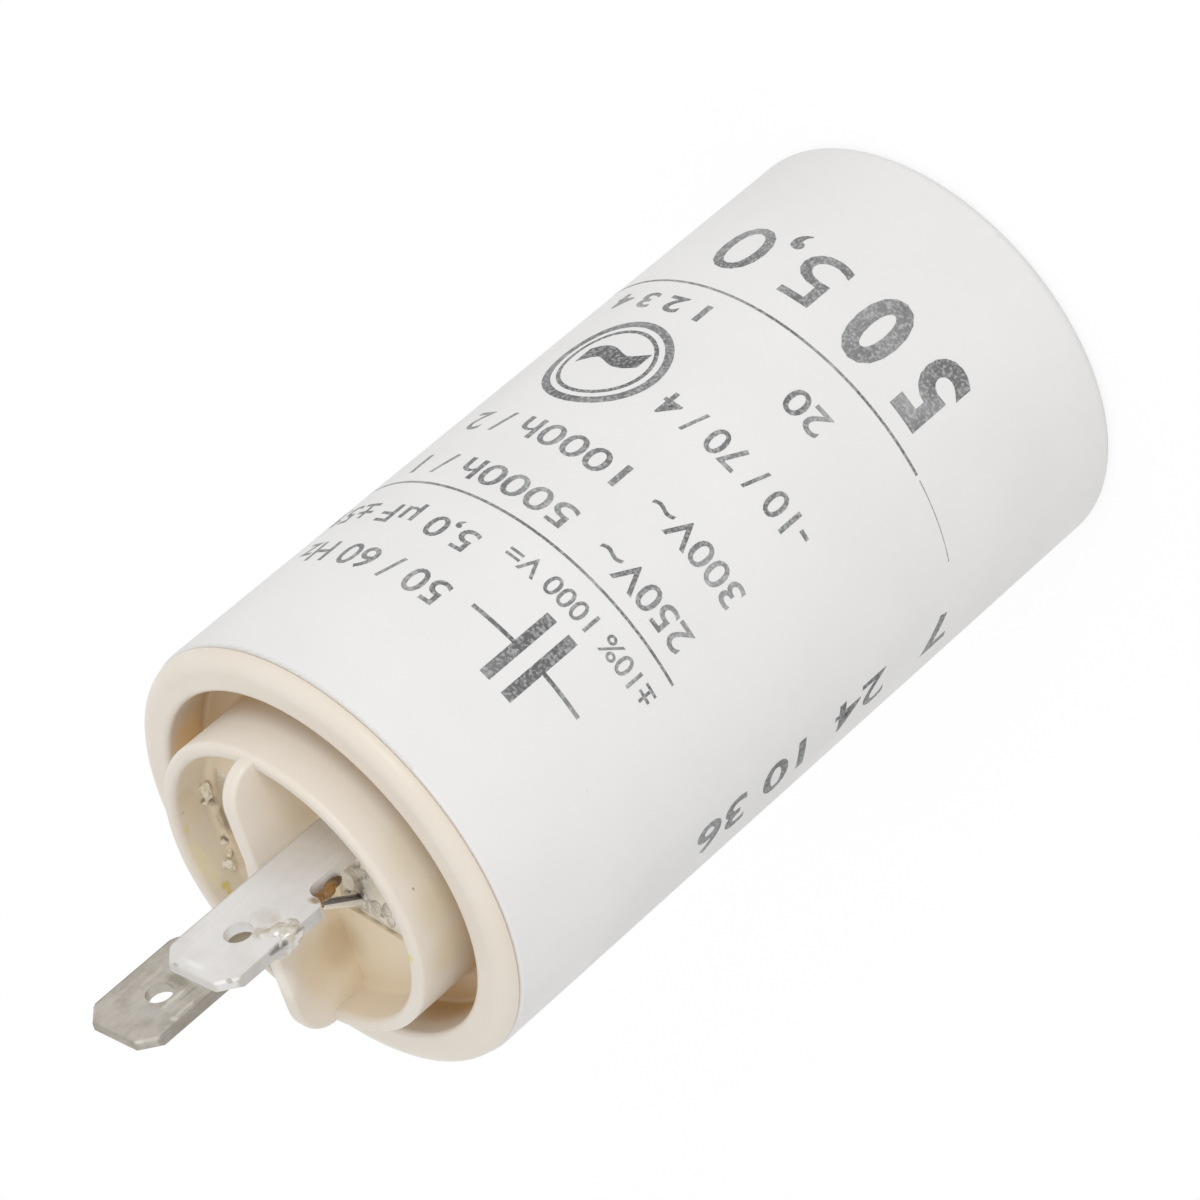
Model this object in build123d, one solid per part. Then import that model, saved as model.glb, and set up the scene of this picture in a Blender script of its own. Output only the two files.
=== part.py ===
from build123d import *

import os
from math import cos, radians, sin

# Film capacitor in a round moulded plastic case, with two blade terminals.
#
# Frame: the case stands on its base, the origin is the centre of the base,
# +Z runs up the axis to the terminals, and all lengths are millimetres.
# Everything that belongs to terminal B is the terminal A piece turned half a
# turn about the axis.

# Case
case_radius = 16.0
case_height = 58.7              # base to the rim that carries the lid
case_wall = 1.2
case_floor = 1.6
case_base_rounding = 0.8        # outer edge of the base
case_rim_rounding = 0.2
case_inner_rounding = 0.6

# Lid: outer flange, moat, inner ring and the floor inside that ring
flange_step = 0.15              # the flange stands in from the case by this much
flange_thickness = 1.3
flange_rounding = 1.1
flange_lip_chamfer = 0.15
moat_inset = 0.3                # outer wall of the moat, in from halfway between ring and rim
moat_depth = 3.5                # below the top of the flange
moat_bottom = 1.2               # thickness under the moat
moat_lip_rounding = 0.4
moat_corner_rounding = 0.3
spigot_clearance = 0.05         # between the lid's spigot and the case
spigot_chamfer = 0.4
ring_inner_radius = 10.08
ring_wall = 1.07
ring_height = 3.95              # above the case rim
ring_rounding = 0.45
recess_floor_height = 0.95      # above the case rim
recess_floor_thickness = 1.4
recess_corner_rounding = 0.5

# Barrier between the terminals: two parallel halves with a slanting middle
barrier_height = 6.5            # above the case rim
barrier_thickness = 1.1
barrier_angle = -39.0
barrier_offset = 0.87           # each half from the case's axis
barrier_kink = 4.4              # along each half, from the middle to its bend
barrier_corner_rounding = 2.6
barrier_end_inset = 0.15         # ends of the barrier inside the ring's outer face
barrier_edge_rounding = 0.3

# Resin wells through the lid's floor, one in each compartment
well_ledge = 0.6                # floor left round the inside of the ring
well_margin = 0.6               # floor left beside the barrier
well_edge_angle = 37.0
well_edge_distance = 3.0        # straight edge of a well from the case's axis
resin_drop = 0.3                # resin surface below the lid's floor

# Blade terminals
tab_width = 6.3
tab_thickness = 0.8
tab_top = 16.1                  # above the case rim
tab_offset = 7.5                # tab's middle from the case's axis, along Y
tab_shift = -0.15               # and along X
tab_angle = 48.0
tab_corner_width = 1.15
tab_corner_height = 1.15
tab_bevel = 0.15
tab_bevel_length = 3.0          # bevelled part below the tip
tab_hole = 1.9
tab_hole_drop = 4.15            # hole's middle below the tip
tab_root_width = 4.2
tab_shoulder_height = 7.25      # above the case rim
tab_shoulder_rounding = 1.0
tab_notch_rounding = 0.9
tab_root_depth = 2.6            # end of the root below the case rim

# Leads and solder
lead_diameter = 0.8
lead_bend = 1.2
lead_foot = 3.3                 # where a lead leaves the resin, from the axis
lead_reach = 8.6                # start of a lead on its end contact
lead_gap = 0.15                 # solder between lead and tab
lead_place = 0.75               # a lead passes behind its tab, from the tab's middle
lead_end_place = 1.8            # end of the short lead, from the tab's middle
lead_bend_height = 7.1          # short lead, above the case rim
lead_end_height = 11.0
long_lead_bend_height = 3.4     # long lead, above the case rim
long_lead_end_height = 6.7
lead_loop_height = 1.9          # the long lead's crossing, above the end contact
sleeve_wall = 0.4
sleeve_clearance = 0.05
solder_width = 2.0
solder_height = 2.7
solder_lead_end = 0.55          # end of the lead above the middle of the solder
solder_front = 0.4              # proud of the tab's face
solder_cover = 0.35             # over the lead
solder_overhang = 0.2           # past the tab's edge
solder_rounding = 0.5
solder_skin = 0.25              # over the back of the tab

# Wound element
winding_standoff = 2.0          # resin under the element
winding_gap = 1.3               # resin round the element
winding_headroom = 2.4          # resin between the element and the lid
spray_thickness = 0.8
wrap_thickness = 0.3
core_bore = 4.4
core_wall = 0.8

# Worked out from the sizes above
rim = case_height
bore_radius = case_radius - case_wall
flange_radius = case_radius - flange_step
flange_top = rim + flange_thickness
moat_floor = flange_top - moat_depth
lid_bottom = moat_floor - moat_bottom
spigot_radius = bore_radius - spigot_clearance
ring_outer_radius = ring_inner_radius + ring_wall
moat_radius = (flange_radius + ring_outer_radius) / 2 - moat_inset
ring_top = rim + ring_height
recess_floor = rim + recess_floor_height
resin_top = recess_floor - resin_drop
wrap_radius = bore_radius - winding_gap
winding_radius = wrap_radius - wrap_thickness
core_radius = core_bore / 2 + core_wall
element_bottom = case_floor + winding_standoff
element_top = lid_bottom - winding_headroom
film_bottom = element_bottom + spray_thickness
film_top = element_top - spray_thickness
lead_radius = lead_diameter / 2
lead_stand = tab_thickness / 2 + lead_gap + lead_radius
root_edge = tab_width / 2 - tab_root_width

half_turn = Rot(0, 0, 180)
tab_plane = Plane(
    origin=(tab_shift, -tab_offset, 0),
    x_dir=(cos(radians(tab_angle)), sin(radians(tab_angle)), 0),
    z_dir=(sin(radians(tab_angle)), -cos(radians(tab_angle)), 0),
)


def turned(points, roundings=(), chamfers=()):
    """Solid of revolution from (radius, height) points, some corners eased."""
    section = make_face(Polyline(*points, close=True))
    for radius, height, size in roundings:
        corner = section.vertices().sort_by_distance((radius, height))[0]
        section = fillet(corner, size)
    for radius, height, size in chamfers:
        corner = section.vertices().sort_by_distance((radius, height))[0]
        section = chamfer(corner, size)
    return revolve(Plane.XZ * section, axis=Axis.Z)


def tube(outer, inner, bottom, top):
    """Upright ring between two radii."""
    points = [(inner, bottom), (outer, bottom), (outer, top), (inner, top)]
    return turned(points)


def rod(points):
    """Round wire along a bent route."""
    route = FilletPolyline(*points, radius=lead_bend)
    section = Plane(origin=route @ 0, z_dir=route % 0) * Circle(lead_radius)
    return sweep(section, path=route)


def on_tab(across, out, height):
    """Point given across the tab, out from its middle plane and by height."""
    return tab_plane.from_local_coords(Vector(across, height, out))


def make_case():
    inner = bore_radius
    return turned(
        [(0, 0), (case_radius, 0), (case_radius, rim), (inner, rim), (inner, case_floor), (0, case_floor)],
        roundings=[
            (case_radius, 0, case_base_rounding),
            (case_radius, rim, case_rim_rounding),
            (inner, case_floor, case_inner_rounding),
        ],
    )


def barrier_route():
    """Middle line of the barrier in plan, one end of the ring to the other."""
    along = Vector(1, 0).rotate(Axis.Z, barrier_angle)
    aside = Vector(0, 1).rotate(Axis.Z, barrier_angle)
    bend = along * -barrier_kink + aside * barrier_offset
    end = along * -case_radius + aside * barrier_offset
    return Polyline(end, bend, -bend, -end)


def make_barrier():
    """Upright divider, its ends in the wall of the ring."""
    foot = recess_floor - recess_floor_thickness / 2
    plan = trace(barrier_route(), barrier_thickness)
    plate = Pos(0, 0, foot) * extrude(plan, rim + barrier_height - foot)
    plate = plate & Cylinder(ring_outer_radius - barrier_end_inset, 2 * (rim + barrier_height))
    top = plate.faces().sort_by(Axis.Z)[-1]
    plate = fillet(top.edges().filter_by(GeomType.CIRCLE), barrier_corner_rounding)
    top = plate.faces().sort_by(Axis.Z)[-1]
    return fillet(top.edges().filter_by(lambda edge: edge.length > barrier_thickness), barrier_edge_rounding)


def well_plan():
    """One well in plan: what the ledge, the barrier and the shelf leave free."""
    room = Circle(ring_inner_radius - well_ledge)
    room -= trace(barrier_route(), barrier_thickness + 2 * well_margin)
    near = room.faces().sort_by(Axis.Y)[0]
    shelf = Pos(0, well_edge_distance + case_radius) * Rectangle(4 * case_radius, 2 * case_radius)
    return near - Rot(0, 0, well_edge_angle) * shelf


def make_lid():
    floor_low = recess_floor - recess_floor_thickness
    body = turned(
        [
            (0, floor_low),
            (ring_inner_radius, floor_low),
            (ring_inner_radius, lid_bottom),
            (spigot_radius, lid_bottom),
            (spigot_radius, rim),
            (flange_radius, rim),
            (flange_radius, flange_top),
            (moat_radius, flange_top),
            (moat_radius, moat_floor),
            (ring_outer_radius, moat_floor),
            (ring_outer_radius, ring_top),
            (ring_inner_radius, ring_top),
            (ring_inner_radius, recess_floor),
            (0, recess_floor),
        ],
        roundings=[
            (flange_radius, flange_top, flange_rounding),
            (moat_radius, flange_top, moat_lip_rounding),
            (moat_radius, moat_floor, moat_corner_rounding),
            (ring_outer_radius, moat_floor, moat_corner_rounding),
            (ring_outer_radius, ring_top, ring_rounding),
            (ring_inner_radius, ring_top, ring_rounding),
            (ring_inner_radius, recess_floor, recess_corner_rounding),
        ],
        chamfers=[
            (flange_radius, rim, flange_lip_chamfer),
            (spigot_radius, lid_bottom, spigot_chamfer),
        ],
    )
    body += make_barrier()
    well = Pos(0, 0, floor_low) * extrude(well_plan(), recess_floor_thickness)
    return body - well - half_turn * well


def make_tab():
    half = tab_width / 2
    top = rim + tab_top
    shoulder = rim + tab_shoulder_height
    notch = root_edge
    root = rim - tab_root_depth
    outline = Polyline(
        (half, root),
        (half, top - tab_corner_height),
        (half - tab_corner_width, top),
        (-half + tab_corner_width, top),
        (-half, top - tab_corner_height),
        (-half, shoulder),
        (notch, shoulder),
        (notch, root),
        close=True,
    )
    blade = make_face(outline)
    blade = fillet(blade.vertices().sort_by_distance((-half, shoulder))[0], tab_shoulder_rounding)
    blade = fillet(blade.vertices().sort_by_distance((notch, shoulder))[0], tab_notch_rounding)
    blade -= Pos(0, top - tab_hole_drop) * Circle(tab_hole / 2)
    blade = extrude(blade, tab_thickness / 2, both=True)
    tip = blade.edges().filter_by(Plane.XY).filter_by_position(Axis.Y, top - tab_bevel_length, top)
    blade = chamfer(tip, tab_bevel)
    return tab_plane * blade


def short_lead():
    """From the upper end contact up through the well to the back of tab A."""
    return rod(
        [
            (-lead_reach, 0, element_top),
            (-lead_foot, 0, element_top),
            (-lead_foot, 0, resin_top),
            on_tab(-lead_place, -lead_stand, rim + lead_bend_height),
            on_tab(-lead_end_place, -lead_stand, rim + lead_end_height),
        ]
    )


def long_lead():
    """From the lower end contact up through the core to the back of tab B."""
    crossing = element_top + lead_loop_height
    bend = on_tab(-lead_place, -lead_stand, rim + long_lead_bend_height)
    end = on_tab(-lead_place, -lead_stand, rim + long_lead_end_height)
    return rod(
        [
            (lead_reach, 0, element_bottom),
            (0, 0, element_bottom),
            (0, 0, crossing),
            (lead_foot, 0, crossing + lead_bend),
            (lead_foot, 0, resin_top),
            (-bend.X, -bend.Y, bend.Z),
            (-end.X, -end.Y, end.Z),
        ]
    )


def lump(width, height, depth):
    """Block with every edge rounded."""
    block = Box(width, height, depth)
    return fillet(block.edges(), solder_rounding)


def make_solder(edge, lead_end, lead_end_height):
    """Lump over a tab's edge, joined to one round the end of the lead."""
    face = tab_thickness / 2
    middle = rim + lead_end_height - solder_lead_end
    front_depth = tab_thickness + solder_front + solder_skin
    back_depth = lead_gap + lead_diameter + 2 * solder_cover
    front_across = edge - solder_overhang + solder_width / 2
    front = Pos(front_across, middle, face + solder_front - front_depth / 2)
    back = Pos(-lead_end, middle, -face + solder_cover - back_depth / 2)
    solder = front * lump(solder_width, solder_height, front_depth)
    solder += back * lump(solder_width, solder_height, back_depth)
    return tab_plane * solder


def make_resin(lid, contents):
    """Fills the case round the element and rises in the two wells."""
    block = tube(bore_radius, 0, case_floor, lid_bottom)
    block = fillet(block.edges().filter_by(GeomType.CIRCLE).sort_by(Axis.Z)[0], case_inner_rounding)
    element = Pos(0, 0, element_bottom) * Cylinder(
        wrap_radius, element_top - element_bottom, align=(Align.CENTER, Align.CENTER, Align.MIN)
    )
    bore = Pos(0, 0, element_bottom) * Cylinder(
        core_bore / 2, element_top - element_bottom, align=(Align.CENTER, Align.CENTER, Align.MIN)
    )
    head = Pos(0, 0, lid_bottom) * Cylinder(
        ring_inner_radius, resin_top - lid_bottom, align=(Align.CENTER, Align.CENTER, Align.MIN)
    )
    fill = block - element + bore + head - lid
    for piece in contents:
        fill -= piece
    return fill


lid = make_lid()
tab_a = make_tab()
tab_b = half_turn * tab_a
lead_a = short_lead()
lead_b = long_lead()
sleeve_bore = lead_radius + sleeve_clearance
lead_sleeve = tube(sleeve_bore + sleeve_wall, sleeve_bore, film_bottom + lead_bend, film_top)
contact = tube(winding_radius, core_bore / 2, 0, spray_thickness)

parts = {
    "case": make_case(),
    "lid": lid,
    "tab_a": tab_a,
    "tab_b": tab_b,
    "lead_a": lead_a,
    "lead_b": lead_b,
    "solder_a": make_solder(-tab_width / 2, lead_end_place, lead_end_height) - tab_a - lead_a,
    "solder_b": half_turn * make_solder(root_edge, lead_place, long_lead_end_height) - tab_b - lead_b,
    "lead_sleeve": lead_sleeve,
    "film_winding": tube(winding_radius, core_radius, film_bottom, film_top),
    "winding_core": tube(core_radius, core_bore / 2, film_bottom, film_top),
    "film_wrap": tube(wrap_radius, winding_radius, element_bottom, element_top),
    "end_contact_top": Pos(0, 0, film_top) * contact - lead_a,
    "end_contact_bottom": Pos(0, 0, element_bottom) * contact - lead_b,
    "potting_resin": make_resin(lid, [tab_a, tab_b, lead_a, lead_b, lead_sleeve]),
}

os.makedirs("parts", exist_ok=True)
for name, shape in parts.items():
    export_step(shape, f"parts/{name}.step")
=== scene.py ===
import math

import bpy
from mathutils import Matrix, Vector


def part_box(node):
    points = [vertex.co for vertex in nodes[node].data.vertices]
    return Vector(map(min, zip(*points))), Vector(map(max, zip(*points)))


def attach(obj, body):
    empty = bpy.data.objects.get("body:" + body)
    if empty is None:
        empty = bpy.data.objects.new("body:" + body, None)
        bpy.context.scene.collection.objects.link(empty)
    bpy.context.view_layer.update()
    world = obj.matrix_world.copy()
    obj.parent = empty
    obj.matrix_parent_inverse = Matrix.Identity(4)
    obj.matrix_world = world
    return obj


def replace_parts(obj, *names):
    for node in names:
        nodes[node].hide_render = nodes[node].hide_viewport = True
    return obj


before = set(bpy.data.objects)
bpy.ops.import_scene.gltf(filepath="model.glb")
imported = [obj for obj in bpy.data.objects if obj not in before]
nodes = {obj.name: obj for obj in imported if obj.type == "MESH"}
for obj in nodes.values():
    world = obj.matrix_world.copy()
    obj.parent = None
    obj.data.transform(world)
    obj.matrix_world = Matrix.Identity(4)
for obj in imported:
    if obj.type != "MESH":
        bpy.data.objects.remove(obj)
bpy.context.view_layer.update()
mm = 0.001

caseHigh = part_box("case")[1]
caseRadius = caseHigh.x
rimHeight = caseHigh.z
bladeMiddle = (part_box("tab_a")[0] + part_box("tab_a")[1]) / 2
bladeTurn = math.radians(48)     # blade A's width, round from +X
bladeTip = 16.1                  # above the rim, in mm
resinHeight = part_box("potting_resin")[1].z
print("frame loaded,", len(nodes), "nodes")


def deselectAll():
    if bpy.context.object and bpy.context.object.mode != "OBJECT":
        bpy.ops.object.mode_set(mode="OBJECT")
    bpy.ops.object.select_all(action="DESELECT")


def pick(*pieces):
    deselectAll()
    for piece in pieces:
        piece.select_set(True)
    bpy.context.view_layer.objects.active = pieces[0]


def joined(name, pieces):
    pick(*pieces)
    if len(pieces) > 1:
        bpy.ops.object.join()
    pieces[0].name = name
    pieces[0].data.name = name
    return pieces[0]


def settle(piece):
    pick(piece)
    bpy.ops.object.transform_apply(location=True, rotation=True, scale=True)


def modify(piece, kind, **values):
    # adds one modifier and applies it at once
    pick(piece)
    modifier = piece.modifiers.new(kind.title(), kind)
    for key, value in values.items():
        setattr(modifier, key, value)
    bpy.ops.object.modifier_apply(modifier=modifier.name)


def dress(piece, material):
    piece.data.materials.clear()
    piece.data.materials.append(material)


def aboveRim(centre):
    # a place from x, y and height above the rim, in mm
    return Vector((centre[0] * mm, centre[1] * mm, rimHeight + centre[2] * mm))


def onBlade(across, out, height, side=1):
    # a place beside a blade in mm: across it, out from its middle, above the rim; side -1 is blade B
    x = bladeMiddle.x + (across * math.cos(bladeTurn) + out * math.sin(bladeTurn)) * mm
    y = bladeMiddle.y + (across * math.sin(bladeTurn) - out * math.cos(bladeTurn)) * mm
    return Vector((side * x, side * y, rimHeight + height * mm))


def addNode(tree, kind, **values):
    # values with a socket's name go to the socket, the rest to the node
    node = tree.nodes.new(kind)
    for key, value in values.items():
        if key in node.inputs:
            node.inputs[key].default_value = value
        else:
            setattr(node, key, value)
    return node


def feed(tree, socket, value):
    # a socket is linked to another one, or set to a plain value
    if isinstance(value, bpy.types.NodeSocket):
        tree.links.new(value, socket)
    else:
        socket.default_value = value


def calc(tree, operation, *values):
    # a Math node from sockets or plain numbers
    node = addNode(tree, "ShaderNodeMath", operation=operation)
    for socket, value in zip(node.inputs, values):
        feed(tree, socket, value)
    return node.outputs[0]


def calcVector(tree, operation, *values):
    # the same with vectors; a length or a dot product comes out as one number
    node = addNode(tree, "ShaderNodeVectorMath", operation=operation)
    for socket, value in zip(node.inputs, values):
        feed(tree, socket, value)
    return node.outputs["Value" if operation in ("LENGTH", "DOT_PRODUCT") else "Vector"]


def eased(tree, value, start, end, low=0.0, high=1.0):
    # low where a value reaches start, high where it reaches end
    node = addNode(tree, "ShaderNodeMapRange", interpolation_type="SMOOTHSTEP")
    labels = ("Value", "From Min", "From Max", "To Min", "To Max")
    for label, given in zip(labels, (value, start, end, low, high)):
        feed(tree, node.inputs[label], given)
    return node.outputs["Result"]


def newGroup(name, inputs):
    # a group that turns a place and its other inputs into one mask
    group = bpy.data.node_groups.new(name, "ShaderNodeTree")
    for label, kind, value in [("Vector", "NodeSocketVector", None), *inputs]:
        socket = group.interface.new_socket(label, in_out="INPUT", socket_type=kind)
        if value is not None:
            socket.default_value = value
    group.interface.new_socket("Mask", in_out="OUTPUT", socket_type="NodeSocketFloat")
    start, end = group.nodes.new("NodeGroupInput"), group.nodes.new("NodeGroupOutput")
    return group, start.outputs, end.inputs["Mask"]


def cloudGroup():
    # soft patches, drawn out along an axis by Stretch
    group, given, mask = newGroup("softClouds", [
        ("Scale", "NodeSocketFloat", 500.0), ("Stretch", "NodeSocketVector", (1, 1, 1)),
        ("Low", "NodeSocketFloat", 0.35), ("High", "NodeSocketFloat", 0.65),
        ("Detail", "NodeSocketFloat", 3.0),
    ])
    noise = addNode(group, "ShaderNodeTexNoise", Roughness=0.55)
    feed(group, noise.inputs["Vector"], calcVector(group, "MULTIPLY", given["Vector"], given["Stretch"]))
    feed(group, noise.inputs["Scale"], given["Scale"])
    feed(group, noise.inputs["Detail"], given["Detail"])
    feed(group, mask, eased(group, noise.outputs["Fac"], given["Low"], given["High"]))
    return group


def speckGroup():
    # scattered small specks: Size is their reach, Share how many cells have one
    group, given, mask = newGroup("looseSpecks", [
        ("Scale", "NodeSocketFloat", 800.0), ("Size", "NodeSocketFloat", 0.2),
        ("Share", "NodeSocketFloat", 0.2),
    ])
    cells = addNode(group, "ShaderNodeTexVoronoi")
    feed(group, cells.inputs["Vector"], given["Vector"])
    feed(group, cells.inputs["Scale"], given["Scale"])
    near = eased(group, cells.outputs["Distance"], 0.0, given["Size"], 1.0, 0.0)
    apart = addNode(group, "ShaderNodeSeparateColor")
    feed(group, apart.inputs["Color"], cells.outputs["Color"])
    chosen = calc(group, "LESS_THAN", apart.outputs["Red"], given["Share"])
    feed(group, mask, calc(group, "MULTIPLY", near, chosen))
    return group


def spotGroup():
    # one soft oval spot, its edge broken up by Ragged
    group, given, mask = newGroup("softSpot", [
        ("Centre", "NodeSocketVector", (0, 0, 0)), ("Reach", "NodeSocketVector", (1, 1, 1)),
        ("Ragged", "NodeSocketFloat", 0.5),
    ])
    solid, gone = 0.3, 1.0       # shares of the reach
    offset = calcVector(group, "SUBTRACT", given["Vector"], given["Centre"])
    far = calcVector(group, "LENGTH", calcVector(group, "DIVIDE", offset, given["Reach"]))
    noise = addNode(group, "ShaderNodeTexNoise", Scale=2200.0, Detail=2.0)
    feed(group, noise.inputs["Vector"], given["Vector"])
    centred = calc(group, "SUBTRACT", noise.outputs["Fac"], 0.5)
    uneven = calc(group, "MULTIPLY_ADD", centred, given["Ragged"], far)
    feed(group, mask, eased(group, uneven, solid, gone, 1.0, 0.0))
    return group


softClouds = cloudGroup()
looseSpecks = speckGroup()
softSpot = spotGroup()


def newMaterial(name, **shaderValues):
    material = bpy.data.materials.new(name)
    material.use_nodes = True
    tree = material.node_tree
    shader = tree.nodes["Principled BSDF"]
    for key, value in shaderValues.items():
        shader.inputs[key.replace("_", " ")].default_value = value
    place = addNode(tree, "ShaderNodeTexCoord").outputs["Object"]
    return material, tree, shader, place


def groupMask(tree, group, place, **values):
    node = addNode(tree, "ShaderNodeGroup", node_tree=group)
    for key, value in values.items():
        node.inputs[key].default_value = value
    tree.links.new(place, node.inputs["Vector"])
    return node.outputs["Mask"]


def blendColours(tree, mask, first, second, share=1.0):
    # first where the mask is 0, second where it is 1, no further than share
    if share < 1.0:
        mask = calc(tree, "MULTIPLY", mask, share)
    node = addNode(tree, "ShaderNodeMix", data_type="RGBA")
    tree.links.new(mask, node.inputs["Factor"])
    for socket, colour in ((node.inputs[6], first), (node.inputs[7], second)):
        feed(tree, socket, colour if isinstance(colour, bpy.types.NodeSocket) else (*colour, 1))
    return node.outputs[2]


def ranged(tree, mask, low, high):
    # a mask spread between two values
    node = addNode(tree, "ShaderNodeMapRange")
    tree.links.new(mask, node.inputs["Value"])
    node.inputs["To Min"].default_value = low
    node.inputs["To Max"].default_value = high
    return node.outputs["Result"]


def surfaced(tree, shader, colour, roughness, height, depth):
    # depth in metres for a height of 1
    tree.links.new(colour, shader.inputs["Base Color"])
    tree.links.new(roughness, shader.inputs["Roughness"])
    bump = addNode(tree, "ShaderNodeBump", Distance=depth, Strength=1.0)
    tree.links.new(height, bump.inputs["Height"])
    tree.links.new(bump.outputs["Normal"], shader.inputs["Normal"])


def paintStainsAndLight(tree, place, colour, stainsAndPaintedLight):
    # stain spots, painted light and painted shade: centre, reach in mm, colour, share, ragged edge
    # a centre of four numbers is beside a blade, one of three is x, y and above the rim
    for centre, reach, tint, share, ragged in stainsAndPaintedLight:
        spot = onBlade(*centre) if len(centre) == 4 else aboveRim(centre)
        mask = groupMask(tree, softSpot, place, Centre=spot, Reach=[r * mm for r in reach], Ragged=ragged)
        colour = blendColours(tree, mask, colour, tint, share)
    return colour


def alongAxis(tree, place, axis, middle):
    # how far a place is from a plane through middle, in mm, counted along the axis
    axis = Vector(axis).normalized()
    away = calcVector(tree, "DOT_PRODUCT", place, axis / mm)
    return calc(tree, "SUBTRACT", away, axis.dot(middle) / mm)


def fromAxis(tree, place):
    # distance from the case's axis in mm
    return calcVector(tree, "LENGTH", calcVector(tree, "MULTIPLY", place, (1 / mm, 1 / mm, 0)))


def heightMask(tree, place, clear, full):
    # 0 at height clear, 1 at height full, in metres
    apart = addNode(tree, "ShaderNodeSeparateXYZ")
    tree.links.new(place, apart.inputs[0])
    return eased(tree, apart.outputs["Z"], clear, full)


# what the case and the lid share
mouldedDetail = {"grainLow": 0.3, "grainHigh": 0.7, "waveLow": 0.0, "waveHigh": 1.0, "waveDetail": 1}


def newMoulded(name, v, **shaderValues):
    # moulded plastic: a clouded colour, and specks to blend into it
    material, tree, shader, place = newMaterial(name, **shaderValues)
    clouds = groupMask(tree, softClouds, place, Scale=v["cloudScale"])
    specks = groupMask(
        tree, looseSpecks, place, Scale=v["speckScale"], Size=v["speckSize"], Share=v["speckShare"])
    colour = blendColours(tree, clouds, v["colour"], v["clouded"], v["cloudShare"])
    return material, tree, shader, place, clouds, specks, colour


def mouldedSurface(tree, shader, place, v, colour, clouds):
    # a fine grain over faint waves
    detail = mouldedDetail
    grain = groupMask(
        tree, softClouds, place, Scale=v["grainScale"], Low=detail["grainLow"], High=detail["grainHigh"])
    waves = groupMask(
        tree, softClouds, place, Scale=v["waveScale"], Low=detail["waveLow"], High=detail["waveHigh"],
        Detail=detail["waveDetail"])
    height = calc(tree, "ADD", calc(tree, "MULTIPLY", grain, v["grainDepth"] / v["waveDepth"]), waves)
    surfaced(tree, shader, colour, ranged(tree, clouds, v["smooth"], v["rough"]), height, v["waveDepth"])


# white moulded case: a fine grain, faint clouding and a few handling marks
casePlastic = {
    "colour": (0.83, 0.825, 0.82), "clouded": (0.79, 0.785, 0.775), "cloudShare": 0.5, "cloudScale": 90,
    "mark": (0.60, 0.57, 0.50), "markShare": 0.5, "speckScale": 420, "speckSize": 0.09, "speckShare": 0.035,
    "grainScale": 5200, "grainDepth": 0.004 * mm, "waveScale": 260, "waveDepth": 0.02 * mm,
    "smooth": 0.46, "rough": 0.6,
    # the foot's scuffed edge, in heights above the base
    "scuffed": (0.50, 0.49, 0.47), "scuffFrom": 0.4, "scuffTo": 0.05, "scuffShare": 0.7,
}


def makeCasePlastic():
    v = casePlastic
    material, tree, shader, place, clouds, specks, colour = newMoulded(
        "caseWhite", v, IOR=1.49, Specular_IOR_Level=0.35)
    colour = blendColours(tree, specks, colour, v["mark"], v["markShare"])
    foot = heightMask(tree, place, v["scuffFrom"] * mm, v["scuffTo"] * mm)
    colour = blendColours(tree, foot, colour, v["scuffed"], v["scuffShare"])
    mouldedSurface(tree, shader, place, v, colour, clouds)
    return material


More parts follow.
